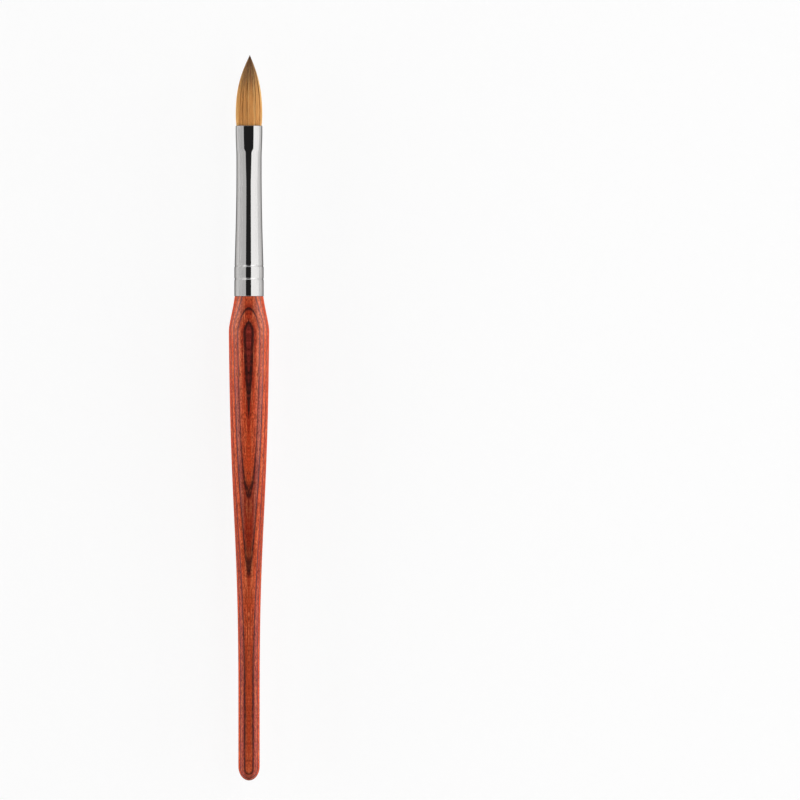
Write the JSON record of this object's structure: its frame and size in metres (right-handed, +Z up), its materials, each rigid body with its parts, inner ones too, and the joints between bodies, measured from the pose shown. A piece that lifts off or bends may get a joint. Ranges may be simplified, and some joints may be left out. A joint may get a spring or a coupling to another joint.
{
  "type": "acrylic nail brush",
  "caption": "Nail brush with a turned handle of laminated dyed wood, a drawn metal ferrule pressed flat at the mouth, and a pointed oval tuft of hair that bends and springs back.",
  "frame": {"origin": "on the surface the brush lies on, below the middle of its length", "axes": "+Y along the brush towards the tip of the hair, +Z up, out of the wide face of the tuft"},
  "size_m": [0.01, 0.18, 0.01],
  "materials": {
    "veneer_light": "satin lacquer",
    "veneer_dark": "satin lacquer",
    "veneer_skin": "satin lacquer",
    "ferrule_metal": "polished nickel plate",
    "set_glue": "set glue",
    "root_hair": "packed hair",
    "tie_thread": "wound thread",
    "epoxy": "set resin",
    "brush_hair": "fine hair"
  },
  "bodies": {
    "brush": {"handle_ply_01": "veneer_skin", "handle_ply_02": "veneer_dark", "handle_ply_03": "veneer_light", "handle_ply_04": "veneer_dark", "handle_ply_05": "veneer_light", "handle_ply_06": "veneer_dark", "handle_ply_07": "veneer_light", "handle_ply_08": "veneer_light", "handle_ply_09": "veneer_dark", "handle_ply_10": "veneer_light", "handle_ply_11": "veneer_dark", "handle_ply_12": "veneer_light", "handle_ply_13": "veneer_dark", "handle_ply_14": "veneer_skin", "ferrule": "ferrule_metal", "ferrule_glue": "set_glue", "hair_root": "root_hair", "root_thread": "tie_thread", "root_epoxy": "epoxy"},
    "tuft": {"hair_tuft": "brush_hair"}
  },
  "joints": [
    {"name": "tuft_flex", "type": "hinge", "parent": "brush", "child": "tuft", "pos_m": [0, 0.0724, 0.00502], "axis": [1, 0, 0], "range_deg": [-35, 35], "stiffness_Nm_per_rad": 0.003, "deforming": ["hair_tuft"]}
  ]
}
